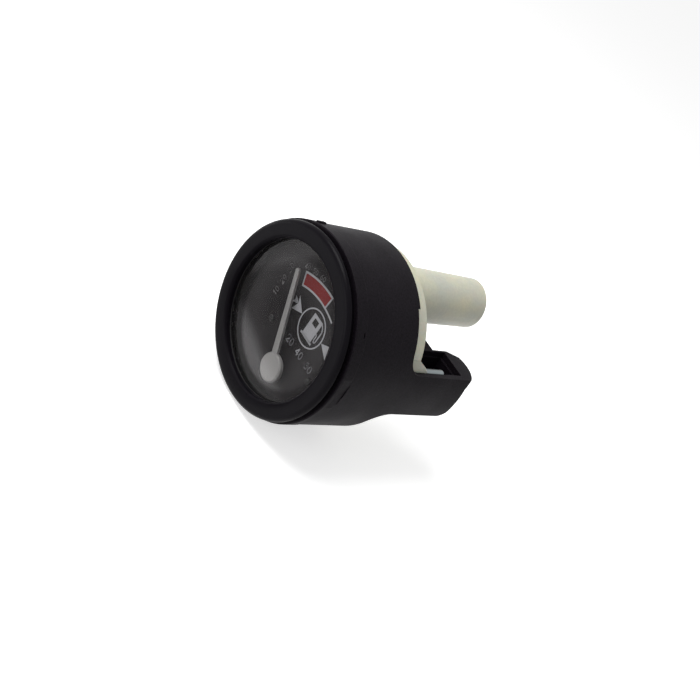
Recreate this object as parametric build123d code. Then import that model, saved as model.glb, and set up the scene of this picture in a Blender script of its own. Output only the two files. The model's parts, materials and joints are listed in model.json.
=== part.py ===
from build123d import *
import math
import os

# Panel-mounted pressure gauge. All sizes are in millimetres.
# The gauge's axis is Y: the dial faces -Y and the pressure stem points to +Y.
# +Z is the dial's upright, +X its right-hand side.
# Y = 0 is the front face of the panel, where the bezel seats.

# Panel and bezel
PANEL_GAP = 1.9            # slot between bezel and clamp sleeve that takes the panel
SKIRT_RADIUS = 28.4        # cylinder that passes through the panel hole
BEZEL_LIP = 1.6            # bezel beyond the skirt, which rests on the panel
BEZEL_RADIUS = SKIRT_RADIUS + BEZEL_LIP
BEZEL_STAND = 1.6          # bezel front above the panel
WINDOW_RADIUS = SKIRT_RADIUS - 4.2
SKIRT_LENGTH = 8.0
SKIRT_WALL = 2.0
LIP_DEPTH = 0.5            # rear face of the bezel's glass seat
GASKET_THICKNESS = 0.5
LENS_THICKNESS = 1.4
FIT = 0.1                  # radial clearance between pushed-together plastic parts

# Dial
DIAL_RING_DEPTH = 3.6      # lens to dial
DIAL_RING_WALL = 0.8
DIAL_RING_LIP = 0.3        # flange between lens and cup
DIAL_THICKNESS = 0.6
DIAL_BORE = 1.9
DIAL_SCREWS = ((-8.8, -6.7), (17.2, -8.0))
DIAL_SCREW_HEAD = 1.1
DIAL_SCREW_SHANK = 0.6
DIAL_SCREW_HEIGHT = 0.45
DIAL_SCREW_REACH = 1.2     # thread length behind the dial
DIAL_POST_RADIUS = 1.5

# Case cup, moulded in one piece with the stem
CUP_WALL = 2.7
CUP_BACK = 32.5            # rear face of the cup
CUP_FLOOR = 2.4
DISC_THICKNESS = 4.6
DISC_EDGE = 0.3
DISC_RADIUS = SKIRT_RADIUS + 0.45   # shoulder that carries the sleeve
LAND_LENGTH = 5.9          # centring land under the rear of the sleeve
BEAD_LENGTH = 2.0
SEAL_THICKNESS = 0.8
STEM_HEIGHT = 16.25        # stem axis above the gauge's axis
STEM_ROOT_RADIUS = 8.85
STEM_TIP_RADIUS = 8.15
STEM_END = 70.9
STEM_BORE_RADIUS = 5.6

# Clamp sleeve with its rear leg
SLEEVE_WALL = 1.8
SLEEVE_CLEARANCE = 0.2
BAND_LENGTH = 3.9
BAND_PROUD = 0.2
BAND_CHAMFER = 0.25
RELIEF_DEPTH = 0.8         # shallow step in the rear edge, on the leg's side
RELIEF_ANGLE = 54.0
LEG_HALF_WIDTH = 7.95
LEG_SHIFT = 0.3            # middle of the leg above the gauge's axis
LEG_END = 55.4
LEG_CROWN = 59.6
LEG_LOW_CORNER = 3.0       # corner radii of the leg's end
LEG_HIGH_CORNER = 0.5
LEG_ROOT_FILLET = 6.0
LEG_WALL = 1.75
LEG_WEB_TOP = 48.0
LEG_WEB_INNER = 5.0
LEG_ARM_INNER = 16.3
LEG_END_WALL = 3.0
LEG_BACK_GAP = 0.3         # leg walls clear the cup's rear face
KEYWAY_HALF_WIDTH = 12.0
FLAT_DEPTH = 0.5           # flat ground into the band on the leg's side
FLAT_FRONT = 3.2
FLAT_LENGTH = 3.2
NUB_ANGLE = 114.0
NUB_HEIGHT = 0.5
NUB_HALF_WIDTH = 0.8
SLIT_ANGLE = 36.0
SLIT_FRONT = 4.8
SLIT_LENGTH = 0.45
SLIT_HALF_WIDTH = 0.8
SLIT_DEPTH = 0.5

# Locating pins beside the leg
PIN_X = SKIRT_RADIUS - 2.6
PIN_Z = 7.0
PIN_RADIUS = 1.3
PIN_END = 46.2
PIN_SEAT = 4.5             # length of pin inside its boss
BOSS_BASE_RADIUS = 4.8
BOSS_TOP_RADIUS = 1.9
BOSS_TOP = 37.2
PIN_CLEARANCE = 0.4

# Movement
PIVOT_X = 4.3
PIVOT_Z = -15.1
GEAR_MODULE = 0.3
PINION_TEETH = 12
SECTOR_TEETH = 60          # teeth of the full wheel that the sector is part of
SECTOR_SPAN = 7            # teeth on the sector
ADDENDUM = 0.85
DEDENDUM = 1.15
PRESSURE_ANGLE = 24.0
BACKLASH = 0.05
SECTOR_THICKNESS = 1.0
PINION_LENGTH = 2.0
ARBOR_RADIUS = 0.75
ARBOR_SHORT = 0.2          # arbor ends inside the plates' outer faces
RUNNING = 0.04             # radial clearance of a running fit
TAIL_LENGTH = 7.0
TAIL_ANGLE = 75.0
PLATE_THICKNESS = 1.0
FRONT_PLATE = 8.2          # front face of the front plate
REAR_PLATE = 14.6
SECTOR_FRONT = 10.2
LINK_GAP = 0.4
LINK_THICKNESS = 0.8
LINK_PIN_RADIUS = 0.45
LINK_EYE_RADIUS = 1.2
LINK_WIDTH = 1.3
PILLAR_RADIUS = 1.2
PILLARS = ((-2.2, -9.0), (12.2, -9.0), (11.0, 3.6))
PIVOT_BOSS = 2.2

# Bourdon tube and pressure socket
BOURDON_GAP = 3.2           # tube to the cup's wall
BOURDON_WIDTH = 7.0
BOURDON_THICKNESS = 1.8
BOURDON_MIDDLE = 22.5
BOURDON_ROOT_ANGLE = 78.0  # the tube's root lies in a slot of the socket
BOURDON_TIP_ANGLE = 155.0
SOCKET_HALF_WIDTH = 5.5
SOCKET_BOTTOM = 10.2
SOCKET_CLEAR = 2.0         # socket to the cup's wall
SHANK_RADIUS = 5.5
THREAD_RADIUS = 4.3
THREAD_LENGTH = 12.0
PASSAGE_RADIUS = 1.0
TIP_HALF = 1.9
TIP_LENGTH = 3.2
TIP_WALL = 0.6
TIP_PIN_RADIUS = 0.5
TIP_EYE_RADIUS = 1.75      # open pivot, so the eye is larger than its pin
TIP_EYE_WALL = 0.8
PLATE_SCREWS = ((-3.2, 13.4), (3.2, 13.4))
PLATE_SCREW_HEAD = 1.5
PLATE_SCREW_SHANK = 0.8
PLATE_SCREW_HEIGHT = 0.9
SOCKET_SCREW_REACH = 4.0
PORT_RECESS = 1.5          # socket's end inside the stem's end

# Pointer
POINTER_ANGLE = 115.3      # rest direction, from +X towards +Z
POINTER_LENGTH = 31.2
HUB_RADIUS = 4.75
HUB_FRONT = 2.9
HUB_THICKNESS = 1.5
NEEDLE_FRONT = 3.4
NEEDLE_THICKNESS = 0.8
NEEDLE_ROOT = 2.5
NEEDLE_TIP = 1.5
NEEDLE_RIDGE = 0.35

# Places that follow from the driving dimensions
LENS_FRONT = LIP_DEPTH + GASKET_THICKNESS
LENS_BACK = LENS_FRONT + LENS_THICKNESS
CUP_FRONT = LENS_BACK + DIAL_RING_LIP
DIAL_FRONT = LENS_BACK + DIAL_RING_DEPTH
DIAL_BACK = DIAL_FRONT + DIAL_THICKNESS
SPIGOT_RADIUS = SKIRT_RADIUS - SKIRT_WALL - FIT
DIAL_RADIUS = WINDOW_RADIUS + DIAL_RING_WALL
CAVITY_RADIUS = SPIGOT_RADIUS - CUP_WALL
SLEEVE_BORE = SKIRT_RADIUS + SLEEVE_CLEARANCE
SLEEVE_RADIUS = SLEEVE_BORE + SLEEVE_WALL
DISC_FRONT = CUP_BACK - DISC_THICKNESS
BAND_RADIUS = SLEEVE_RADIUS + BAND_PROUD
BOURDON_RADIUS = CAVITY_RADIUS - BOURDON_GAP - BOURDON_THICKNESS / 2
SOCKET_TOP = CAVITY_RADIUS - SOCKET_CLEAR
CENTRE_DISTANCE = GEAR_MODULE * (PINION_TEETH + SECTOR_TEETH) / 2
SECTOR_X = PIVOT_X
SECTOR_Z = PIVOT_Z + CENTRE_DISTANCE
TAIL_X = SECTOR_X + TAIL_LENGTH * math.cos(math.radians(TAIL_ANGLE))
TAIL_Z = SECTOR_Z + TAIL_LENGTH * math.sin(math.radians(TAIL_ANGLE))
TIP_X = BOURDON_RADIUS * math.cos(math.radians(BOURDON_TIP_ANGLE))
TIP_Z = BOURDON_RADIUS * math.sin(math.radians(BOURDON_TIP_ANGLE))
LINK_FRONT = SECTOR_FRONT + SECTOR_THICKNESS + LINK_GAP
SOCKET_FRONT = REAR_PLATE + PLATE_THICKNESS
FLOOR_FRONT = CUP_BACK - CUP_FLOOR
PLATE_BACK = REAR_PLATE + PLATE_THICKNESS
LEG_LOW = LEG_SHIFT - LEG_HALF_WIDTH
LEG_HIGH = LEG_SHIFT + LEG_HALF_WIDTH
PAST = 1.0                 # how far a cut runs past the material


def rod(radius, front, back, x=0.0, z=0.0):
    """Solid cylinder along Y."""
    place = Pos(x, front, z) * Rot(X=-90)
    return place * Cylinder(radius, back - front, align=(Align.CENTER, Align.CENTER, Align.MIN))


def ring(outer, inner, front, back, x=0.0, z=0.0):
    return rod(outer, front, back, x, z) - rod(inner, front - PAST, back + PAST, x, z)


def taper(front_radius, back_radius, front, back, x=0.0, z=0.0):
    """Solid cone frustum along Y."""
    place = Pos(x, front, z) * Rot(X=-90)
    return place * Cone(front_radius, back_radius, back - front,
                        align=(Align.CENTER, Align.CENTER, Align.MIN))


def block(x0, x1, y0, y1, z0, z1):
    centre = Pos((x0 + x1) / 2, (y0 + y1) / 2, (z0 + z1) / 2)
    return centre * Box(x1 - x0, y1 - y0, z1 - z0)


def plate_of(sketch, front, thickness):
    """Sketch drawn with its x to +X and its y to +Z, thickened towards +Y."""
    plane = Plane(origin=(0, front, 0), x_dir=(1, 0, 0), z_dir=(0, -1, 0))
    return extrude(plane * sketch, -thickness)


def circles_at(solid, radius, y):
    """Circular edges of one radius that lie in one plane across the axis."""
    found = ShapeList()
    for edge in solid.edges().filter_by(GeomType.CIRCLE):
        if abs(edge.radius - radius) < 1e-4 and abs(edge.center().Y - y) < 1e-4:
            found.append(edge)
    return found


# ---------------------------------------------------------------- case

def make_bezel():
    body = ring(BEZEL_RADIUS, WINDOW_RADIUS, -BEZEL_STAND, 0)
    body = fillet(circles_at(body, BEZEL_RADIUS, -BEZEL_STAND), BEZEL_STAND * 0.95)
    body = fillet(circles_at(body, WINDOW_RADIUS, -BEZEL_STAND), BEZEL_STAND * 0.6)
    seat = ring(SKIRT_RADIUS, WINDOW_RADIUS, -BEZEL_STAND * 0.3, LIP_DEPTH)
    skirt = ring(SKIRT_RADIUS, SKIRT_RADIUS - SKIRT_WALL, 0, SKIRT_LENGTH)
    return body + seat + skirt


def make_lens():
    lens = rod(SPIGOT_RADIUS - FIT, LENS_FRONT, LENS_BACK)
    return chamfer(circles_at(lens, SPIGOT_RADIUS - FIT, LENS_FRONT), 0.2)


def make_lens_gasket():
    return ring(SPIGOT_RADIUS - FIT, WINDOW_RADIUS + FIT, LIP_DEPTH, LENS_FRONT)


def make_dial_ring():
    lip = ring(SPIGOT_RADIUS - FIT, WINDOW_RADIUS, LENS_BACK, CUP_FRONT)
    return lip + ring(DIAL_RADIUS, WINDOW_RADIUS, LENS_BACK, DIAL_FRONT)


def make_dial_plate():
    dial = rod(DIAL_RADIUS, DIAL_FRONT, DIAL_BACK)
    dial -= rod(DIAL_BORE, DIAL_FRONT - PAST, DIAL_BACK + PAST, PIVOT_X, PIVOT_Z)
    for x, z in DIAL_SCREWS:
        dial -= rod(DIAL_SCREW_SHANK + RUNNING, DIAL_FRONT - PAST, DIAL_BACK + PAST, x, z)
    return dial


def make_dial_screws():
    screws = []
    for x, z in DIAL_SCREWS:
        front = DIAL_FRONT - DIAL_SCREW_HEIGHT
        head = rod(DIAL_SCREW_HEAD, front, DIAL_FRONT, x, z)
        head = fillet(circles_at(head, DIAL_SCREW_HEAD, front), DIAL_SCREW_HEIGHT * 0.6)
        screws.append(head + rod(DIAL_SCREW_SHANK, DIAL_FRONT, DIAL_BACK + DIAL_SCREW_REACH, x, z))
    return Compound(children=screws)


def stem():
    body = taper(STEM_ROOT_RADIUS, STEM_TIP_RADIUS, CUP_BACK - 1, STEM_END, z=STEM_HEIGHT)
    return fillet(circles_at(body, STEM_TIP_RADIUS, STEM_END), 0.5)


def pin_boss(grow, side):
    """Tapered boss that carries a locating pin, on one side of the leg."""
    cone = taper(BOSS_BASE_RADIUS + grow, BOSS_TOP_RADIUS + grow, CUP_BACK - 0.2, BOSS_TOP + grow,
                 PIN_X, side * PIN_Z)
    return cone


def make_case_cup():
    cup = rod(SPIGOT_RADIUS, CUP_FRONT, CUP_BACK)
    bead_front = SKIRT_LENGTH + SEAL_THICKNESS
    cup += rod(SKIRT_RADIUS, bead_front, bead_front + BEAD_LENGTH)
    cup += rod(SKIRT_RADIUS, DISC_FRONT - LAND_LENGTH, CUP_BACK)
    disc = rod(DISC_RADIUS, DISC_FRONT, CUP_BACK)
    disc = chamfer(circles_at(disc, DISC_RADIUS, CUP_BACK), DISC_EDGE)
    disc -= block(0, BEZEL_RADIUS * 2, DISC_FRONT - 1, CUP_BACK + 1, -KEYWAY_HALF_WIDTH, KEYWAY_HALF_WIDTH)
    cup += disc
    cup -= rod(DIAL_RADIUS + FIT, CUP_FRONT - 1, DIAL_BACK)
    cup -= rod(CAVITY_RADIUS, DIAL_BACK - 1, FLOOR_FRONT)
    for side in (-1, 1):
        cup += pin_boss(0, side) & rod(SKIRT_RADIUS, CUP_BACK - 1, STEM_END)
    cup += stem()
    cup -= rod(STEM_BORE_RADIUS, FLOOR_FRONT - 1, STEM_END + 1, z=STEM_HEIGHT)
    for side in (-1, 1):
        cup -= rod(PIN_RADIUS, BOSS_TOP - PIN_SEAT, BOSS_TOP + 1, PIN_X, side * PIN_Z)
    return cup


def make_case_seal():
    return ring(SKIRT_RADIUS - FIT, SPIGOT_RADIUS + FIT, SKIRT_LENGTH, SKIRT_LENGTH + SEAL_THICKNESS)


def make_locating_pins():
    pins = []
    for side in (-1, 1):
        pin = rod(PIN_RADIUS, BOSS_TOP - PIN_SEAT, PIN_END, PIN_X, side * PIN_Z)
        pins.append(fillet(circles_at(pin, PIN_RADIUS, PIN_END), PIN_RADIUS * 0.8))
    return Compound(children=pins)


# ---------------------------------------------------------------- clamp sleeve

def sleeve_outline():
    """The sleeve seen along X: its rear edge, the relief and the leg's width with root fillets."""
    relief = SLEEVE_RADIUS * math.sin(math.radians(RELIEF_ANGLE))
    reach = SLEEVE_RADIUS + 5
    edge = DISC_FRONT - RELIEF_DEPTH
    outline = Polyline(
        (PANEL_GAP, -reach), (DISC_FRONT, -reach), (DISC_FRONT, -relief), (edge, -relief),
        (edge, LEG_LOW), (LEG_END, LEG_LOW), (LEG_END, LEG_HIGH),
        (edge, LEG_HIGH), (edge, relief), (DISC_FRONT, relief), (DISC_FRONT, reach),
        (PANEL_GAP, reach), close=True)
    face = make_face(outline)
    roots = [v for v in face.vertices() if abs(v.X - edge) < 1e-6 and abs(v.Y) < relief - 1e-6]
    face = fillet(roots, LEG_ROOT_FILLET)
    low = [v for v in face.vertices() if abs(v.X - LEG_END) < 1e-6 and v.Y < 0]
    face = fillet(low, LEG_LOW_CORNER)
    high = [v for v in face.vertices() if abs(v.X - LEG_END) < 1e-6 and v.Y > 0]
    return fillet(high, LEG_HIGH_CORNER)


def leg_side():
    """The leg seen along Z: an arm that steps down from the web and ends in a rounded crown."""
    start = CUP_BACK + LEG_BACK_GAP
    outer = SLEEVE_RADIUS - 0.4
    walls = Polyline(
        (outer, LEG_END), (SLEEVE_RADIUS + 1, LEG_END), (SLEEVE_RADIUS + 1, start),
        (LEG_WEB_INNER, start), (LEG_WEB_INNER, LEG_WEB_TOP), (LEG_ARM_INNER, LEG_WEB_TOP),
        (LEG_ARM_INNER, LEG_END - 1), (LEG_ARM_INNER + 2.4, LEG_CROWN - 1))
    crown = ThreePointArc((LEG_ARM_INNER + 2.4, LEG_CROWN - 1),
                          ((LEG_ARM_INNER + outer) / 2 + 1.2, LEG_CROWN - 0.4), (outer, LEG_END))
    return make_face(walls + crown)


def leg():
    side = Plane.XY * leg_side()
    solid = Pos(0, 0, LEG_SHIFT) * extrude(side, LEG_HALF_WIDTH, both=True)
    start = CUP_BACK + LEG_BACK_GAP
    solid -= block(0, SLEEVE_RADIUS * 2, start - PAST, LEG_END - LEG_END_WALL,
                   LEG_LOW + LEG_WALL, LEG_HIGH - LEG_WALL)
    solid = solid & rod(SLEEVE_RADIUS, start - PAST, LEG_CROWN + PAST)
    corner = block(0, SLEEVE_RADIUS * 2, LEG_END - LEG_LOW_CORNER, LEG_CROWN + PAST,
                   LEG_LOW - PAST, LEG_LOW + LEG_LOW_CORNER)
    round_off = Pos(0, LEG_END - LEG_LOW_CORNER, LEG_LOW + LEG_LOW_CORNER) * Rot(Y=90) * Cylinder(
        LEG_LOW_CORNER, SLEEVE_RADIUS * 4)
    solid -= corner - round_off
    for sign in (-1, 1):
        solid -= pin_boss(PIN_CLEARANCE, sign)
        slot = PIN_RADIUS + PIN_CLEARANCE
        inner, outer = sign * (LEG_HALF_WIDTH - LEG_WALL - PAST), sign * SLEEVE_RADIUS
        solid -= block(PIN_X - slot, SLEEVE_BORE, start - PAST, PIN_END + PIN_CLEARANCE,
                       min(inner, outer), max(inner, outer))
    return solid


def make_clamp_sleeve():
    shell = ring(SLEEVE_RADIUS, SLEEVE_BORE, PANEL_GAP, LEG_END)
    outline = extrude(Plane.YZ * sleeve_outline(), SLEEVE_RADIUS * 2)
    right = shell & outline
    left = shell & block(-SLEEVE_RADIUS * 2, 0, PANEL_GAP, DISC_FRONT, -SLEEVE_RADIUS * 2, SLEEVE_RADIUS * 2)
    sleeve = right + left
    sleeve += ring(BAND_RADIUS, SLEEVE_BORE, PANEL_GAP, PANEL_GAP + BAND_LENGTH)
    sleeve = chamfer(circles_at(sleeve, BAND_RADIUS, PANEL_GAP), BAND_CHAMFER)
    sleeve -= block(BAND_RADIUS - FLAT_DEPTH, SLEEVE_RADIUS * 2, FLAT_FRONT, FLAT_FRONT + FLAT_LENGTH,
                    -SLEEVE_RADIUS, SLEEVE_RADIUS)
    nub = block(SLEEVE_BORE + SLEEVE_WALL / 2, BAND_RADIUS + NUB_HEIGHT, FLAT_FRONT,
                PANEL_GAP + BAND_LENGTH, -NUB_HALF_WIDTH, NUB_HALF_WIDTH)
    sleeve += Rot(Y=-NUB_ANGLE) * nub
    slit = block(SLEEVE_RADIUS - SLIT_DEPTH, SLEEVE_RADIUS * 2, SLIT_FRONT, SLIT_FRONT + SLIT_LENGTH,
                 -SLIT_HALF_WIDTH, SLIT_HALF_WIDTH)
    sleeve -= Rot(Y=-SLIT_ANGLE) * slit
    return sleeve + leg()


# ---------------------------------------------------------------- movement

def involute_point(base, roll):
    """Point of the involute of a base circle, as radius and angle from where it starts."""
    radius = base * math.sqrt(1 + roll * roll)
    return radius, roll - math.atan(roll)


def tooth_flank(pitch, teeth, root, outer):
    """Half tooth of a gear: list of (radius, half angle), from the root to the tip."""
    base = pitch * math.cos(math.radians(PRESSURE_ANGLE))
    pitch_roll = math.tan(math.radians(PRESSURE_ANGLE))
    half = math.pi / (2 * teeth) - BACKLASH / (2 * pitch)
    offset = half + involute_point(base, pitch_roll)[1]
    first = math.sqrt(max(root / base, 1) ** 2 - 1)
    last = math.sqrt((outer / base) ** 2 - 1)
    flank = []
    for step in range(4):
        radius, angle = involute_point(base, first + (last - first) * step / 3)
        flank.append((radius, offset - angle))
    if root < base:
        flank.insert(0, (root, flank[0][1]))
    return flank


def gear_outline(teeth, count, middle):
    """Outline points of count teeth around the direction middle, in degrees, centred on 0, 0."""
    pitch = GEAR_MODULE * teeth / 2
    outer = pitch + ADDENDUM * GEAR_MODULE
    root = pitch - DEDENDUM * GEAR_MODULE
    flank = tooth_flank(pitch, teeth, root, outer)
    points = []
    for index in range(count):
        centre = math.radians(middle) + (index - (count - 1) / 2) * 2 * math.pi / teeth
        side = [(radius, centre - half) for radius, half in flank]
        side += [(radius, centre + half) for radius, half in reversed(flank)]
        points += [(radius * math.cos(angle), radius * math.sin(angle)) for radius, angle in side]
    return points


def make_pinion():
    profile = make_face(Polyline(*gear_outline(PINION_TEETH, PINION_TEETH, 90), close=True))
    front = SECTOR_FRONT - (PINION_LENGTH - SECTOR_THICKNESS) / 2
    wheel = plate_of(Pos(PIVOT_X, PIVOT_Z) * profile, front, PINION_LENGTH)
    return wheel - rod(ARBOR_RADIUS, DIAL_BACK, PLATE_BACK, PIVOT_X, PIVOT_Z)


def make_sector_gear():
    rim = gear_outline(SECTOR_TEETH, SECTOR_SPAN, -90)
    wheel = make_face(Polyline((0, -1), *rim, close=True))
    wheel += Circle(PIVOT_BOSS)
    arm = Rot(Z=TAIL_ANGLE) * Pos(TAIL_LENGTH / 2, 0) * SlotCenterToCenter(TAIL_LENGTH, 2 * LINK_EYE_RADIUS)
    wheel += arm
    gear = plate_of(Pos(SECTOR_X, SECTOR_Z) * wheel, SECTOR_FRONT, SECTOR_THICKNESS)
    gear -= rod(ARBOR_RADIUS, DIAL_BACK, PLATE_BACK, SECTOR_X, SECTOR_Z)
    return gear - rod(LINK_PIN_RADIUS, DIAL_BACK, PLATE_BACK, TAIL_X, TAIL_Z)


def make_pointer_arbor():
    return rod(ARBOR_RADIUS, HUB_FRONT + HUB_THICKNESS, PLATE_BACK - ARBOR_SHORT, PIVOT_X, PIVOT_Z)


def make_sector_arbor():
    return rod(ARBOR_RADIUS, FRONT_PLATE + ARBOR_SHORT, PLATE_BACK - ARBOR_SHORT, SECTOR_X, SECTOR_Z)


def make_link_pin():
    return rod(LINK_PIN_RADIUS, SECTOR_FRONT, LINK_FRONT + LINK_THICKNESS + LINK_GAP, TAIL_X, TAIL_Z)


def make_link():
    span = math.hypot(TIP_X - TAIL_X, TIP_Z - TAIL_Z)
    heading = math.degrees(math.atan2(TIP_Z - TAIL_Z, TIP_X - TAIL_X))
    bar = Pos(span / 2, 0) * Rectangle(span, LINK_WIDTH)
    bar += Circle(LINK_EYE_RADIUS)
    bar += Pos(span, 0) * Circle(TIP_EYE_RADIUS + TIP_EYE_WALL)
    bar -= Circle(LINK_PIN_RADIUS + RUNNING)
    bar -= Pos(span, 0) * Circle(TIP_EYE_RADIUS)
    return plate_of(Pos(TAIL_X, TAIL_Z) * Rot(Z=heading) * bar, LINK_FRONT, LINK_THICKNESS)


def hull_of(discs):
    """Outline round a set of discs, each x, z and radius."""
    edges = ShapeList()
    for x, z, radius in discs:
        edges += (Pos(x, z) * Circle(radius)).edges()
    return make_hull(edges)


def pivot_discs():
    discs = [(PIVOT_X, PIVOT_Z, PIVOT_BOSS), (SECTOR_X, SECTOR_Z, PIVOT_BOSS)]
    return discs + [(x, z, PILLAR_RADIUS + 0.8) for x, z in PILLARS]


def drill_pivots(plate):
    for x, z in ((PIVOT_X, PIVOT_Z), (SECTOR_X, SECTOR_Z)):
        plate -= rod(ARBOR_RADIUS + RUNNING, DIAL_BACK, PLATE_BACK + PAST, x, z)
    return plate


def make_front_plate():
    discs = pivot_discs() + [(x, z, DIAL_POST_RADIUS + 0.5) for x, z in DIAL_SCREWS]
    plate = drill_pivots(plate_of(hull_of(discs), FRONT_PLATE, PLATE_THICKNESS))
    for x, z in DIAL_SCREWS:
        plate += rod(DIAL_POST_RADIUS, DIAL_BACK, FRONT_PLATE, x, z)
        plate -= rod(DIAL_SCREW_SHANK, DIAL_FRONT, DIAL_BACK + DIAL_SCREW_REACH, x, z)
    for x, z in PILLARS:
        plate -= rod(PLATE_SCREW_SHANK, DIAL_BACK, REAR_PLATE, x, z)
    return plate


def make_rear_plate():
    discs = pivot_discs() + [(x, z, PLATE_SCREW_HEAD + 0.5) for x, z in PLATE_SCREWS]
    plate = drill_pivots(plate_of(hull_of(discs), REAR_PLATE, PLATE_THICKNESS))
    for x, z in PLATE_SCREWS:
        plate -= rod(PLATE_SCREW_SHANK, REAR_PLATE - PAST, PLATE_BACK + PAST, x, z)
    return plate


def make_pillars():
    return Compound(children=[rod(PILLAR_RADIUS, FRONT_PLATE + PLATE_THICKNESS, REAR_PLATE, x, z)
                              for x, z in PILLARS])


def cheese_screw(front, back, x, z):
    """Head in front of the plate face at front, shank down to back."""
    top = front - PLATE_SCREW_HEIGHT
    head = rod(PLATE_SCREW_HEAD, top, front, x, z)
    half = PLATE_SCREW_HEAD + PAST
    head -= block(x - half, x + half, top - PAST, top + PLATE_SCREW_HEIGHT * 0.45, z - 0.2, z + 0.2)
    return head + rod(PLATE_SCREW_SHANK, front, back, x, z)


def make_pillar_screws():
    return Compound(children=[cheese_screw(FRONT_PLATE, FRONT_PLATE + PLATE_THICKNESS, x, z)
                              for x, z in PILLARS])


def make_socket_screws():
    return Compound(children=[cheese_screw(REAR_PLATE, SOCKET_FRONT + SOCKET_SCREW_REACH, x, z)
                              for x, z in PLATE_SCREWS])


def bourdon_arc(radius, width, thickness, start, end):
    """Flat-sided oval section turned about the gauge's axis from start down to end, in degrees."""
    oval = Rot(Z=90) * SlotOverall(width, thickness)
    section = Pos(radius, BOURDON_MIDDLE) * oval
    return Rot(Y=-start) * revolve(section, Axis.Y, start - end)


def make_bourdon_tube():
    return bourdon_arc(BOURDON_RADIUS, BOURDON_WIDTH, BOURDON_THICKNESS, BOURDON_ROOT_ANGLE,
                       BOURDON_TIP_ANGLE - 360)


def make_pressure_socket():
    end = STEM_END - PORT_RECESS
    body = block(-SOCKET_HALF_WIDTH, SOCKET_HALF_WIDTH, SOCKET_FRONT, FLOOR_FRONT, SOCKET_BOTTOM, SOCKET_TOP)
    body += rod(SHANK_RADIUS, FLOOR_FRONT, end, z=STEM_HEIGHT)
    body -= rod(THREAD_RADIUS, end - THREAD_LENGTH, STEM_END, z=STEM_HEIGHT)
    body -= rod(PASSAGE_RADIUS, BOURDON_MIDDLE, STEM_END, z=STEM_HEIGHT)
    for x, z in PLATE_SCREWS:
        body -= rod(PLATE_SCREW_SHANK, SOCKET_FRONT - PAST, SOCKET_FRONT + SOCKET_SCREW_REACH, x, z)
    return body - make_bourdon_tube()


def make_tube_tip():
    front = BOURDON_MIDDLE - BOURDON_WIDTH / 2 - TIP_WALL
    back = BOURDON_MIDDLE + BOURDON_WIDTH / 2 + TIP_WALL
    place = Pos(TIP_X, 0, TIP_Z) * Rot(Y=-BOURDON_TIP_ANGLE)
    cap = block(-TIP_HALF, TIP_HALF, front, back, -TIP_LENGTH, 0)
    foot = block(-TIP_HALF, TIP_HALF, front - TIP_WALL, front, -TIP_LENGTH, TIP_HALF)
    reach = rod(TIP_PIN_RADIUS, LINK_FRONT - LINK_GAP, front, TIP_X, TIP_Z)
    return place * (cap + foot) + reach


# ---------------------------------------------------------------- pointer

def needle():
    root, tip = HUB_RADIUS * 0.6, POINTER_LENGTH
    blade = make_face(Polyline((root, -NEEDLE_ROOT / 2), (tip, -NEEDLE_TIP / 2),
                               (tip, NEEDLE_TIP / 2), (root, NEEDLE_ROOT / 2), close=True))
    ends = [v for v in blade.vertices() if abs(v.X - tip) < 1e-6]
    blade = fillet(ends, NEEDLE_TIP * 0.45)
    solid = plate_of(blade, NEEDLE_FRONT, NEEDLE_THICKNESS)
    bevel = math.degrees(math.atan2(NEEDLE_RIDGE, NEEDLE_ROOT / 2))
    for side in (-1, 1):
        cutter = block(-1, tip + 1, -4, 0, min(0, side * 4), max(0, side * 4))
        solid -= Pos(0, NEEDLE_FRONT, 0) * Rot(X=side * bevel) * cutter
    return solid


def make_pointer():
    hub = rod(HUB_RADIUS, HUB_FRONT, HUB_FRONT + HUB_THICKNESS)
    hub = fillet(circles_at(hub, HUB_RADIUS, HUB_FRONT), HUB_THICKNESS * 0.6)
    pointer = hub + needle()
    return Pos(PIVOT_X, 0, PIVOT_Z) * Rot(Y=-POINTER_ANGLE) * pointer


NODES = {
    "bezel": make_bezel,
    "lens": make_lens,
    "lens_gasket": make_lens_gasket,
    "dial_ring": make_dial_ring,
    "dial_plate": make_dial_plate,
    "dial_screws": make_dial_screws,
    "case_cup": make_case_cup,
    "case_seal": make_case_seal,
    "clamp_sleeve": make_clamp_sleeve,
    "locating_pins": make_locating_pins,
    "pointer": make_pointer,
    "pointer_arbor": make_pointer_arbor,
    "pinion": make_pinion,
    "sector_gear": make_sector_gear,
    "sector_arbor": make_sector_arbor,
    "link_pin": make_link_pin,
    "link": make_link,
    "front_plate": make_front_plate,
    "rear_plate": make_rear_plate,
    "plate_pillars": make_pillars,
    "pillar_screws": make_pillar_screws,
    "socket_screws": make_socket_screws,
    "pressure_socket": make_pressure_socket,
    "bourdon_tube": make_bourdon_tube,
    "tube_tip": make_tube_tip,
}

os.makedirs("parts", exist_ok=True)
for name, make in NODES.items():
    export_step(make(), "parts/" + name + ".step")
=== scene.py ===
import bmesh
import bpy
import json
import math
from mathutils import Matrix, Vector
from mathutils.kdtree import KDTree


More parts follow.
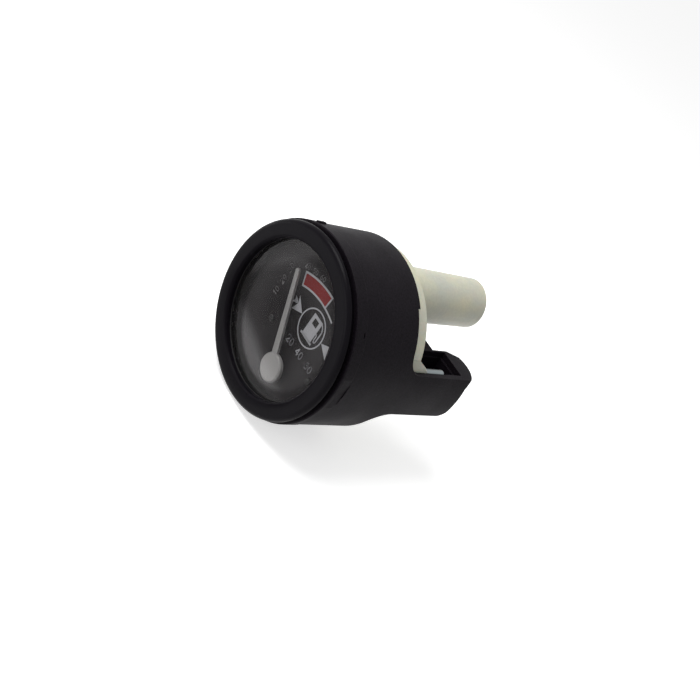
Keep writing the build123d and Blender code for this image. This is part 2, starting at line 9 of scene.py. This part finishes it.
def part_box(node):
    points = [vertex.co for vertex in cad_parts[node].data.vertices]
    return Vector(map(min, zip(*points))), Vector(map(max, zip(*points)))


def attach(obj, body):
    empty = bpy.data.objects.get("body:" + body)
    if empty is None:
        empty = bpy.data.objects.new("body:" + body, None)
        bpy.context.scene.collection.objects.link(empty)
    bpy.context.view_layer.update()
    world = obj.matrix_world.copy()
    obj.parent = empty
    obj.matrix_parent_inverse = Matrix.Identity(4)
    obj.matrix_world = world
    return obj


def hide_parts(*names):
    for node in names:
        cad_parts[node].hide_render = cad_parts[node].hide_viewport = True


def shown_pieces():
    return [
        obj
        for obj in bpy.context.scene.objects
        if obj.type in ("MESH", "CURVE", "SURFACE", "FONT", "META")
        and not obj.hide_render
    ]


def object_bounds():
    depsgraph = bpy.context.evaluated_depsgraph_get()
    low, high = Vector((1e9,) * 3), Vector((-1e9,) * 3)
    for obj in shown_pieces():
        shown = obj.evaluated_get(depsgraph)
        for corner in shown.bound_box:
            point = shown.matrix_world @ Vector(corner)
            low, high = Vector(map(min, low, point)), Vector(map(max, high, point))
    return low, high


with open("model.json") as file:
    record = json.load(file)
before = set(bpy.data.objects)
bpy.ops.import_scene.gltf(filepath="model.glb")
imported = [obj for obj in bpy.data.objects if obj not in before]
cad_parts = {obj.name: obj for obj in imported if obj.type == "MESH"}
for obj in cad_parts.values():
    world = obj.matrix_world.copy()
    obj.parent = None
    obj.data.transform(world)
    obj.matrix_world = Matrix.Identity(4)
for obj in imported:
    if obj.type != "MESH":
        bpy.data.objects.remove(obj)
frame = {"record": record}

MM = 0.001

# Print on the dial, in mm and degrees. Places on the dial are x and z.
PIVOT = (4.3, -15.1)           # pointer's pivot
PRINT_THICKNESS = 0.03
RED_SECTOR = (26.9, 30.4, 86.4, 112.3)     # inner and outer radius, end and start angle about the pivot
INNER_LINE = 0.6               # white line under the red zone and at its ends
OUTER_LINE = 0.65              # white line above the red zone
TAIL_END = 74                  # angle to which the line under the red zone runs on
SIGN_CENTRE = (6.5, 3.5)       # middle of the ring round the pump
SIGN_RING = (5.75, 6.2)        # inner and outer radius of that ring
HOSE_WIDTH = 0.42
DIGIT_PITCH = 0.86             # distance from digit to digit, for a height of 1
DIGIT_WIDTH = 0.6              # for a height of 1
DIGIT_STROKE = 0.16            # for a height of 1

# Leg of the clamp sleeve: boxes by their low and high corners, in mm.
LEG_OPENING = ((17.0, 32.0, 6.2), (27.3, 53.0, 8.3))       # opening in the leg's upper side
LEG_INNER_WALL = ((16.3, 33.0, -6.4), (17.4, 52.8, 6.6))   # wall that closes the hollow on the inner side
JOIN_DISTANCE = 1e-6           # points nearer than this are one, in metres
SAME_PLACE = 2e-6              # a corner within this distance of an old one may keep its normal, in metres
SAME_DIRECTION = 0.999         # where their faces' normals have at least this cosine

# Thread in the port, in mm.
PORT_RADIUS = 4.3
PORT_HEIGHT = 16.25            # height of the port's axis above the gauge's
THREAD_START = 57.6
THREAD_PITCH = 1.0
THREAD_TURNS = 10
THREAD_DEPTH = 0.45
THREAD_ROOT = 0.42             # half width of the ridge on the wall
THREAD_CREST = 0.08            # half width of the ridge on top

# Studio card, seen by reflections only. Its glow is set by distances in metres.
CARD_DEPTH = -6.0              # mm in front of the panel
CARD_CENTRE = (-4.9, -5.0)     # where the camera sees the lens's middle mirrored in the card, x and z in mm
CARD_RADIUS = 26.0             # mm
CARD_GLOW = 2.0
CARD_BRIGHT_SIDE = (-0.159, 0.0, -0.987)   # unit vector towards the bright side of the card
CARD_TOP_SIDE = (-0.75, 0.0, 0.66)         # unit vector towards the picture's top
CRESCENT_RISE = (0.007, 0.0175)            # distances from the centre between which the crescent grows
CRESCENT_FALL = (0.0195, 0.0215)           # and between which it fades
CRESCENT_SIDE = (0.016, 0.023)             # distances towards the bright side between which it grows
TOP_STRETCH = (0.016, 0.0215)              # distances towards the top between which the top's glow grows

# Camera, in metres. The three vectors are its axes.
RIGHT = Vector((0.46436, 0.71435, 0.52352))
UP = Vector((-0.69934, -0.06695, 0.71165))
TOWARDS = Vector((0.54342, -0.69657, 0.46848))
CAMERA_PLACE = (0.20730, -0.23052, 0.16973)
CAMERA_LENS = 61.71            # mm
CAMERA_SENSOR = 36.0           # mm

FLOOR_REACH = 6.0              # metres
FLOOR_GAP = 0.0002             # metres below the part
FLOOR_GLOW = 0.6
WORLD_LIGHT = 0.4              # strength of the white surround where it lights the object
WORLD_SEEN = 1.0               # and where it is seen
LAMP_TARGET = (0, 0.02, 0)     # metres


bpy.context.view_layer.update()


# ---------------------------------------------------------------- materials

def new_material(name):
    material = bpy.data.materials.new(name)
    material.use_nodes = True
    tree = material.node_tree
    tree.nodes.clear()
    output = tree.nodes.new("ShaderNodeOutputMaterial")
    return material, tree, output


def noise(tree, scale, detail=3.0, stretch=(1, 1, 1)):
    """Noise in object space; scale is in cells per metre."""
    place = tree.nodes.new("ShaderNodeTexCoord")
    mapping = tree.nodes.new("ShaderNodeMapping")
    mapping.inputs["Scale"].default_value = stretch
    tree.links.new(place.outputs["Object"], mapping.inputs["Vector"])
    texture = tree.nodes.new("ShaderNodeTexNoise")
    texture.inputs["Scale"].default_value = scale
    texture.inputs["Detail"].default_value = detail
    tree.links.new(mapping.outputs["Vector"], texture.inputs["Vector"])
    return texture.outputs["Fac"]


def spread(tree, value, low, high, start=0.3, end=0.7):
    """Map a noise value onto the range low to high."""
    node = tree.nodes.new("ShaderNodeMapRange")
    node.inputs["From Min"].default_value = start
    node.inputs["From Max"].default_value = end
    node.inputs["To Min"].default_value = low
    node.inputs["To Max"].default_value = high
    tree.links.new(value, node.inputs["Value"])
    return node.outputs["Result"]


def smooth_spread(tree, value, low, high, start, end):
    """As spread, but leaving and reaching the ends gently."""
    result = spread(tree, value, low, high, start, end)
    result.node.interpolation_type = "SMOOTHSTEP"
    return result


def arithmetic(tree, operation, first, second):
    """One step of arithmetic between two values; the second may be a number."""
    node = tree.nodes.new("ShaderNodeMath")
    node.operation = operation
    tree.links.new(first, node.inputs[0])
    if isinstance(second, float):
        node.inputs[1].default_value = second
    else:
        tree.links.new(second, node.inputs[1])
    return node.outputs["Value"]


def tint(tree, value, first, second):
    """A mix of two colours: the first where the value is 0, the second where it is 1."""
    node = tree.nodes.new("ShaderNodeMix")
    node.data_type = "RGBA"
    node.inputs["A"].default_value = (*first, 1)
    node.inputs["B"].default_value = (*second, 1)
    tree.links.new(value, node.inputs["Factor"])
    return node.outputs["Result"]


SLOW_CELLS = 90.0              # cells per metre in the slow change of shade and gloss
SOFT_DEPTH = 1.5               # mm that light goes into soft plastic


def surface(name, colour, rough, shade=0.85, grain=0.35, bump=0.02, metal=0.0, edge=0.12,
            stretch=(1, 1, 1), soft=0.0, speck=0.05, specular=0.5):
    """A material with fine grain, a slow change of shade and gloss, and softened edges. Lengths in mm.

    shade is the second colour of the slow change, or the share of the first that it has.
    """
    material, tree, output = new_material(name)
    shader = tree.nodes.new("ShaderNodeBsdfPrincipled")
    slow = noise(tree, SLOW_CELLS, 4.0)
    fine = noise(tree, 1 / (grain * MM), 2.0, stretch)
    darker = shade if isinstance(shade, tuple) else tuple(c * shade for c in colour)
    mottled = tint(tree, spread(tree, slow, 0, 1), colour, darker)
    speckled = tree.nodes.new("ShaderNodeVectorMath")
    speckled.operation = "SCALE"
    tree.links.new(mottled, speckled.inputs[0])
    tree.links.new(spread(tree, fine, 1 - speck, 1 + speck), speckled.inputs["Scale"])
    tree.links.new(speckled.outputs["Vector"], shader.inputs["Base Color"])
    tree.links.new(spread(tree, slow, rough * 0.9, rough * 1.1), shader.inputs["Roughness"])
    rounding = tree.nodes.new("ShaderNodeBevel")
    rounding.samples = 4
    rounding.inputs["Radius"].default_value = edge * MM
    relief = tree.nodes.new("ShaderNodeBump")
    relief.inputs["Strength"].default_value = 1.0
    relief.inputs["Distance"].default_value = bump * MM
    tree.links.new(fine, relief.inputs["Height"])
    tree.links.new(rounding.outputs["Normal"], relief.inputs["Normal"])
    tree.links.new(relief.outputs["Normal"], shader.inputs["Normal"])
    shader.inputs["Metallic"].default_value = metal
    shader.inputs["Specular IOR Level"].default_value = specular
    shader.inputs["Subsurface Weight"].default_value = soft
    shader.inputs["Subsurface Scale"].default_value = SOFT_DEPTH * MM
    tree.links.new(shader.outputs["BSDF"], output.inputs["Surface"])
    return material


def measured(tree, operation, vector):
    """DISTANCE from a point, or length along a direction by DOT_PRODUCT, in metres in object space."""
    place = tree.nodes.new("ShaderNodeTexCoord")
    node = tree.nodes.new("ShaderNodeVectorMath")
    node.operation = operation
    node.inputs[1].default_value = vector
    tree.links.new(place.outputs["Object"], node.inputs[0])
    return node.outputs["Value"]


def clear_lens():
    """Clear plastic with a thin film of dust and a reflection that grows at a slant."""
    material, tree, output = new_material("clear_lens")
    through = tree.nodes.new("ShaderNodeBsdfTransparent")
    through.inputs["Color"].default_value = (0.97, 0.97, 0.96, 1)
    shine = tree.nodes.new("ShaderNodeBsdfGlossy")
    tree.links.new(spread(tree, noise(tree, 60.0), 0.03, 0.05), shine.inputs["Roughness"])
    fresnel = tree.nodes.new("ShaderNodeFresnel")
    fresnel.inputs["IOR"].default_value = 1.49
    mix = tree.nodes.new("ShaderNodeMixShader")
    side = tree.nodes.new("ShaderNodeNewGeometry")
    outside_only = arithmetic(tree, "SUBTRACT", fresnel.outputs["Fac"], side.outputs["Backfacing"])
    outside_only.node.use_clamp = True
    tree.links.new(outside_only, mix.inputs["Fac"])
    tree.links.new(through.outputs["BSDF"], mix.inputs[1])
    tree.links.new(shine.outputs["BSDF"], mix.inputs[2])
    film = tree.nodes.new("ShaderNodeBsdfDiffuse")
    film.inputs["Color"].default_value = (0.8, 0.77, 0.8, 1)
    hazy = tree.nodes.new("ShaderNodeMixShader")
    haze = spread(tree, noise(tree, 120.0), 0.004, 0.008)
    tree.links.new(haze, hazy.inputs["Fac"])
    tree.links.new(mix.outputs["Shader"], hazy.inputs[1])
    tree.links.new(film.outputs["BSDF"], hazy.inputs[2])
    tree.links.new(hazy.outputs["Shader"], output.inputs["Surface"])
    return material


def seen_directly(tree):
    """1 for rays from the camera and for reflected or refracted ones, 0 for those of soft light."""
    path = tree.nodes.new("ShaderNodeLightPath")
    either = arithmetic(tree, "MAXIMUM", path.outputs["Is Camera Ray"], path.outputs["Is Glossy Ray"])
    return arithmetic(tree, "MAXIMUM", either, path.outputs["Is Transmission Ray"])


def floor_material():
    """Matt pale grey that takes shadows, with a glow that lifts it to white where it is seen."""
    material, tree, output = new_material("floor")
    matt = tree.nodes.new("ShaderNodeBsdfDiffuse")
    matt.inputs["Color"].default_value = (0.8, 0.8, 0.8, 1)
    glow = tree.nodes.new("ShaderNodeEmission")
    glow.inputs["Color"].default_value = (1, 1, 1, 1)
    strength = arithmetic(tree, "MULTIPLY", seen_directly(tree), FLOOR_GLOW)
    tree.links.new(strength, glow.inputs["Strength"])
    both = tree.nodes.new("ShaderNodeAddShader")
    tree.links.new(matt.outputs["BSDF"], both.inputs[0])
    tree.links.new(glow.outputs["Emission"], both.inputs[1])
    tree.links.new(both.outputs["Shader"], output.inputs["Surface"])
    return material


LOOKS = {
    "black_gloss": surface("black_gloss", (0.0047, 0.0040, 0.0056), 0.3,
                           grain=0.5, bump=0.003, edge=0.2, specular=0.045),
    "black_matt": surface("black_matt", (0.0062, 0.0047, 0.0068), 0.5,
                          grain=0.5, bump=0.035, edge=0.2, speck=0.5, specular=0.06),
    "black_rubber": surface("black_rubber", (0.016, 0.016, 0.016), 0.7),
    "black_ring": surface("black_ring", (0.006, 0.006, 0.006), 0.6, specular=0.15),
    "dial_black": surface("dial_black", (0.0108, 0.0088, 0.0105), 0.6,
                          grain=0.3, bump=0.0004, specular=0.15),
    "dark_steel": surface("dark_steel", (0.02, 0.02, 0.021), 0.5, specular=0.3),
    "cream_plastic": surface("cream_plastic", (0.55, 0.535, 0.39), 0.38, shade=(0.46, 0.465, 0.40),
                             grain=0.8, bump=0.006, soft=0.2, edge=0.25),
    "zinc_steel": surface("zinc_steel", (0.24, 0.27, 0.28), 0.35, metal=1.0, grain=0.2, bump=0.004),
    "pointer_white": surface("pointer_white", (0.23, 0.225, 0.23), 0.4, shade=0.94, bump=0.002),
    "steel": surface("steel", (0.55, 0.55, 0.56), 0.3, metal=1.0, stretch=(1, 12, 1)),
    "brass": surface("brass", (0.78, 0.58, 0.28), 0.3, metal=1.0, bump=0.004),
    "brass_sheet": surface("brass_sheet", (0.76, 0.56, 0.26), 0.36, metal=1.0, stretch=(12, 1, 1)),
    "socket_brass": surface("socket_brass", (0.74, 0.54, 0.25), 0.34, metal=1.0, stretch=(1, 1, 9)),
    "bronze": surface("bronze", (0.66, 0.40, 0.22), 0.3, metal=1.0, stretch=(1, 6, 1)),
    "clear_lens": clear_lens(),
}
INK_WHITE = surface("ink_white", (0.31, 0.31, 0.34), 0.55,
                    shade=0.95, bump=0.001, edge=0.01, specular=0.2)
INK_GREY = surface("ink_grey", (0.17, 0.165, 0.175), 0.55,
                   shade=0.95, bump=0.001, edge=0.01, specular=0.2)
INK_RED = surface("ink_red", (0.175, 0.005, 0.005), 0.5,
                  shade=0.9, bump=0.001, edge=0.01, specular=0.05)


def dress_nodes():
    """Give each CAD node the look of its slot in the record."""
    slots = {part["node"]: part["material_slot"] for part in frame["record"]["subparts"]}
    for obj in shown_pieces():
        if obj.name in slots:
            obj.data.materials.clear()
            obj.data.materials.append(LOOKS[slots[obj.name]])


dress_nodes()


# ---------------------------------------------------------------- print on the dial

DIAL_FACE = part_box("dial_plate")[0].y


def add_mesh(name, points, faces, look):
    """A new object from points in metres and faces."""
    mesh = bpy.data.meshes.new(name)
    mesh.from_pydata(points, [], faces)
    mesh.update()
    mesh.materials.append(look)
    obj = bpy.data.objects.new(name, mesh)
    bpy.context.scene.collection.objects.link(obj)
    return obj


def ink(name, outlines, look):
    """Printed shapes as thin slabs on the dial's face. Each outline is a list of (x, z) in mm."""
    front = DIAL_FACE - PRINT_THICKNESS * MM
    points, faces = [], []
    for outline in outlines:
        first = len(points)
        count = len(outline)
        for y in (front, DIAL_FACE):
            points += [(x * MM, y, z * MM) for x, z in outline]
        faces.append([first + i for i in range(count)])
        for i in range(count):
            j = (i + 1) % count
            faces.append([first + j, first + i, first + count + i, first + count + j])
    obj = add_mesh(name, points, faces, look)
    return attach(obj, "case")


def arc(centre, radius, start, end, steps=24):
    """Points on an arc, in degrees; radius is one number or one for x and one for z."""
    rx, rz = radius if isinstance(radius, tuple) else (radius, radius)
    turns = [math.radians(start + (end - start) * i / steps) for i in range(steps + 1)]
    return [(centre[0] + rx * math.cos(t), centre[1] + rz * math.sin(t)) for t in turns]


def band(centre, inner, outer, start, end, steps=24):
    """Outline of an annular sector."""
    return arc(centre, outer, start, end, steps) + arc(centre, inner, end, start, steps)


def stroke(path, width):
    """Quads of one width along a path, with a small disc at each of its points."""
    shapes = []
    for (x0, z0), (x1, z1) in zip(path, path[1:]):
        length = math.hypot(x1 - x0, z1 - z0)
        nx, nz = (z0 - z1) / length * width / 2, (x1 - x0) / length * width / 2
        shapes.append([(x0 - nx, z0 - nz), (x1 - nx, z1 - nz), (x1 + nx, z1 + nz), (x0 + nx, z0 + nz)])
    for point in path:
        shapes.append(arc(point, width / 2, 0, 360, 8)[:-1])
    return shapes


# Paths of the digits, for a height of 1.
DIGITS = {
    "0": [arc((0.3, 0.5), (0.28, 0.5), 0, 360, 16)],
    "1": [[(0.12, 0.78), (0.36, 1.0), (0.36, 0.0)]],
    "2": [arc((0.3, 0.72), (0.27, 0.28), 165, -35, 10) + [(0.03, 0.0), (0.6, 0.0)]],
    "3": [arc((0.28, 0.75), (0.25, 0.25), 150, -80, 10) + arc((0.28, 0.27), (0.29, 0.27), 80, -150, 10)],
    "4": [[(0.45, 0.0), (0.45, 1.0), (0.0, 0.3), (0.62, 0.3)]],
    "5": [[(0.54, 1.0), (0.1, 1.0), (0.06, 0.56)] + arc((0.28, 0.33), (0.29, 0.33), 125, -150, 12)],
    "6": [arc((0.3, 0.31), (0.28, 0.31), 0, 360, 14), arc((0.62, 0.31), (0.6, 0.69), 180, 105, 8)],
    " ": [],
}


def number(text, height, place):
    """Stroked digits; place turns a distance along the line and a height above it into (x, z)."""
    shapes = []
    length = (len(text) - 1) * DIGIT_PITCH + DIGIT_WIDTH
    for index, char in enumerate(text):
        for path in DIGITS[char]:
            placed = [place((x + index * DIGIT_PITCH - length / 2) * height, z * height) for x, z in path]
            shapes += stroke(placed, height * DIGIT_STROKE)
    return shapes


def straight(x, z, angle):
    """Placing on a straight line through (x, z), turned by an angle in degrees."""
    c, s = math.cos(math.radians(angle)), math.sin(math.radians(angle))
    return lambda along, up: (x + along * c - up * s, z + along * s + up * c)


def curved(radius, middle):
    """Placing on a circle about the pivot, read clockwise, with the middle at an angle in degrees."""
    def place(along, up):
        turn = math.radians(middle) - along / radius
        reach = radius + up
        return PIVOT[0] + reach * math.cos(turn), PIVOT[1] + reach * math.sin(turn)
    return place


def make_scale():
    """The red zone with its white outline, whose lower line runs on past the zone."""
    inner, outer, low, high = RED_SECTOR
    ink("red_zone", [band(PIVOT, inner, outer, high, low)], INK_RED)
    edge = math.degrees(INNER_LINE / outer)
    outline = [band(PIVOT, outer, outer + OUTER_LINE, high + edge, low - edge),
               band(PIVOT, inner - INNER_LINE, inner, high + edge, TAIL_END),
               band(PIVOT, inner, outer, high + edge, high, 1),
               band(PIVOT, inner, outer, low, low - edge, 1)]
    ink("scale_lines", outline, INK_WHITE)


def rectangle(x0, x1, z0, z1):
    return [(x0, z0), (x1, z0), (x1, z1), (x0, z1)]


def make_pump_sign():
    """A fuel pump in a ring, with an arrow on the left and a wedge on the right."""
    ring = [band(SIGN_CENTRE, *SIGN_RING, a, a + 90) for a in (0, 90, 180, 270)]
    body = [rectangle(4.3, 5.5, 0, 7.8), rectangle(7.85, 9.15, 0, 7.8), rectangle(5.5, 7.85, 6.8, 7.8),
            rectangle(5.5, 7.85, 0, 4.7), rectangle(3.6, 9.85, -0.4, 0.3)]
    hose = stroke([(9.2, 7.4), (10.2, 6.6), (10.7, 5.6), (10.7, 1.9), (10.45, 1.35), (9.95, 1.35),
                   (9.75, 1.9), (9.75, 3.4), (9.2, 3.8)], HOSE_WIDTH)
    arrow = [[(0.2, 3.6), (-4.5, 6.7), (-3.5, 4.9), (-3.5, 4.1), (-4.6, 1.5)],
             [(-3.7, 4.1), (-3.7, 4.9), (-5.8, 5.7), (-5.2, 4.4), (-6.0, 3.2)]]
    wedge = [[(12.9, 3.5), (17.5, 1.2), (16.0, 5.2)]]
    ink("pump_sign", ring + body + hose + arrow + wedge, INK_WHITE)


def make_numbers():
    """Each line of numbers: its text, the height of its digits and its place."""
    ink("numbers_low", number("0 20 40 60", 2.3, straight(6.2, -6.4, 0)), INK_WHITE)
    ink("numbers_left", number("10 20 30", 1.8, straight(-12.9, 4.8, 90)), INK_GREY)
    ink("numbers_top", number("40 50 60", 1.5, curved(31.5, 106.2)), INK_GREY)


make_scale()
make_pump_sign()
make_numbers()


# ---------------------------------------------------------------- opening in the leg of the clamp sleeve

def joined_copy(mesh, name):
    """A copy of a mesh with the points of neighbouring faces joined."""
    work = bmesh.new()
    work.from_mesh(mesh)
    bmesh.ops.remove_doubles(work, verts=work.verts, dist=JOIN_DISTANCE)
    joined = bpy.data.meshes.new(name)
    work.to_mesh(joined)
    work.free()
    return joined


def box_mesh(name, low, high):
    """A box between two corners in mm."""
    work = bmesh.new()
    bmesh.ops.create_cube(work, size=1.0)
    for vertex in work.verts:
        vertex.co = [(low[i] + (vertex.co[i] + 0.5) * (high[i] - low[i])) * MM for i in range(3)]
    box = bpy.data.meshes.new(name)
    work.to_mesh(box)
    work.free()
    return box


def keep_normals(mesh, source):
    """Give each corner the normal that it has in the source, and flat ones where a cut made it."""
    corners = [(face.normal, corner) for face in source.polygons for corner in face.loop_indices]
    places = KDTree(len(corners))
    for index, (_, corner) in enumerate(corners):
        places.insert(source.vertices[source.loops[corner].vertex_index].co, index)
    places.balance()
    normals = []
    for face in mesh.polygons:
        for corner in face.loop_indices:
            point = mesh.vertices[mesh.loops[corner].vertex_index].co
            near = [corners[index] for _, index, _ in places.find_range(point, SAME_PLACE)]
            alike = [pair for pair in near if pair[0].dot(face.normal) > SAME_DIRECTION]
            best = max(alike, key=lambda pair: pair[0].dot(face.normal), default=None)
            normals.append(source.corner_normals[best[1]].vector if best else face.normal)
    mesh.polygons.foreach_set("use_smooth", [True] * len(mesh.polygons))
    mesh.normals_split_custom_set(normals)


def open_leg():
    """The clamp sleeve with its leg open above, beside the pin, and closed on the inner side."""
    sleeve = bpy.data.objects["clamp_sleeve"]
    piece = bpy.data.objects.new("clamp_sleeve_open", joined_copy(sleeve.data, "clamp_sleeve_open"))
    bpy.context.scene.collection.objects.link(piece)
    tools = []
    for operation, corners in (("UNION", LEG_INNER_WALL), ("DIFFERENCE", LEG_OPENING)):
        tool = bpy.data.objects.new("tool", box_mesh("tool", *corners))
        bpy.context.scene.collection.objects.link(tool)
        tools.append(tool)
        change = piece.modifiers.new(operation, "BOOLEAN")
        change.operation = operation
        change.solver = "EXACT"
        change.object = tool
    shape = piece.evaluated_get(bpy.context.evaluated_depsgraph_get())
    mesh = bpy.data.meshes.new_from_object(shape)
    mesh.materials.clear()
    mesh.materials.append(LOOKS["black_matt"])
    mesh.polygons.foreach_set("material_index", [0] * len(mesh.polygons))
    keep_normals(mesh, sleeve.data)
    piece.modifiers.clear()
    piece.data = mesh
    for tool in tools:
        bpy.data.objects.remove(tool)
    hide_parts("clamp_sleeve")
    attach(piece, "case")


open_leg()


# ---------------------------------------------------------------- thread in the port

def make_port_thread():
    """Helical ridge on the wall of the port at the stem's end."""
    steps = 32
    top = PORT_RADIUS - THREAD_DEPTH
    section = [(PORT_RADIUS, -THREAD_ROOT), (top, -THREAD_CREST),
               (top, THREAD_CREST), (PORT_RADIUS, THREAD_ROOT)]
    points, faces = [], []
    for i in range(THREAD_TURNS * steps + 1):
        turn = 2 * math.pi * i / steps
        y = THREAD_START + THREAD_PITCH * i / steps
        for radius, shift in section:
            points.append((radius * math.cos(turn) * MM, (y + shift) * MM,
                           (PORT_HEIGHT + radius * math.sin(turn)) * MM))
    for i in range(THREAD_TURNS * steps):
        for k in range(len(section) - 1):
            a = i * len(section) + k
            faces.append([a, a + 1, a + len(section) + 1, a + len(section)])
    obj = add_mesh("port_thread", points, faces, LOOKS["socket_brass"])
    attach(obj, "case")


make_port_thread()


# ---------------------------------------------------------------- stage

def make_floor():
    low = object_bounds()[0][2] - FLOOR_GAP
    far = FLOOR_REACH
    corners = [(-far, -far, low), (far, -far, low), (far, far, low), (-far, far, low)]
    add_mesh("floor", corners, [[0, 1, 2, 3]], floor_material())


def card_material():
    """A glow in the shape of a crescent, brightest below on the left, and a paler one at the top."""
    material, tree, output = new_material("card")
    centre = (CARD_CENTRE[0] * MM, CARD_DEPTH * MM, CARD_CENTRE[1] * MM)
    away = measured(tree, "DISTANCE", centre)
    rise = smooth_spread(tree, away, 0.12, 1.0, *CRESCENT_RISE)
    fall = smooth_spread(tree, away, 1.0, 0.25, *CRESCENT_FALL)
    to_side = measured(tree, "DOT_PRODUCT", CARD_BRIGHT_SIDE)
    side = smooth_spread(tree, to_side, 0.22, 1.0, *CRESCENT_SIDE)
    crescent = arithmetic(tree, "MULTIPLY", arithmetic(tree, "MULTIPLY", rise, fall),
                          arithmetic(tree, "MULTIPLY", side, CARD_GLOW))
    to_top = measured(tree, "DOT_PRODUCT", CARD_TOP_SIDE)
    top = smooth_spread(tree, to_top, 0.03, 0.75, *TOP_STRETCH)
    glow = tree.nodes.new("ShaderNodeEmission")
    glow.inputs["Color"].default_value = (1, 0.98, 1, 1)
    tree.links.new(arithmetic(tree, "ADD", crescent, top), glow.inputs["Strength"])
    tree.links.new(glow.outputs["Emission"], output.inputs["Surface"])
    return material


def make_card():
    """A round card in front of the lens that only reflections see."""
    rim = arc(CARD_CENTRE, CARD_RADIUS, 0, 360, 48)[:-1]
    points = [(x * MM, CARD_DEPTH * MM, z * MM) for x, z in rim]
    card = add_mesh("card", points, [list(range(len(points)))], card_material())
    card.visible_camera = False
    card.visible_diffuse = False
    card.visible_shadow = False
    card.visible_transmission = False


def make_world():
    """A white surround, which lights the object at a lower strength than it is seen at."""
    world = bpy.data.worlds.new("studio")
    bpy.context.scene.world = world
    world.use_nodes = True
    tree = world.node_tree
    tree.nodes.clear()
    output = tree.nodes.new("ShaderNodeOutputWorld")
    sky = tree.nodes.new("ShaderNodeBackground")
    sky.inputs["Color"].default_value = (1, 1, 1, 1)
    strength = tree.nodes.new("ShaderNodeMapRange")
    strength.inputs["To Min"].default_value = WORLD_LIGHT
    strength.inputs["To Max"].default_value = WORLD_SEEN
    tree.links.new(seen_directly(tree), strength.inputs["Value"])
    tree.links.new(strength.outputs["Result"], sky.inputs["Strength"])
    tree.links.new(sky.outputs["Background"], output.inputs["Surface"])


def look_at(obj, target):
    direction = Vector(target) - obj.location
    obj.rotation_euler = direction.to_track_quat("-Z", "Y").to_euler()


def add_lamp(name, place, size, power):
    """A round lamp that points at the gauge; size in metres, power in watts."""
    lamp = bpy.data.lights.new(name, "AREA")
    lamp.shape = "DISK"
    lamp.size = size
    lamp.energy = power
    obj = bpy.data.objects.new(name, lamp)
    obj.location = place
    look_at(obj, LAMP_TARGET)
    bpy.context.scene.collection.objects.link(obj)


def make_camera():
    camera = bpy.data.cameras.new("camera")
    camera.lens = CAMERA_LENS
    camera.sensor_width = CAMERA_SENSOR
    obj = bpy.data.objects.new("camera", camera)
    axes = Matrix((RIGHT, UP, TOWARDS)).transposed()
    obj.matrix_world = Matrix.Translation(CAMERA_PLACE) @ axes.to_4x4()
    bpy.context.scene.collection.objects.link(obj)
    bpy.context.scene.camera = obj


make_floor()
make_card()
make_world()
add_lamp("key", UP * 0.45 + TOWARDS * 0.25 + RIGHT * 0.05, 0.35, 2.7)
add_lamp("fill", RIGHT * -0.35 + TOWARDS * 0.4 + UP * 0.1, 0.4, 0.9)
make_camera()
bpy.context.scene.view_settings.view_transform = "Standard"
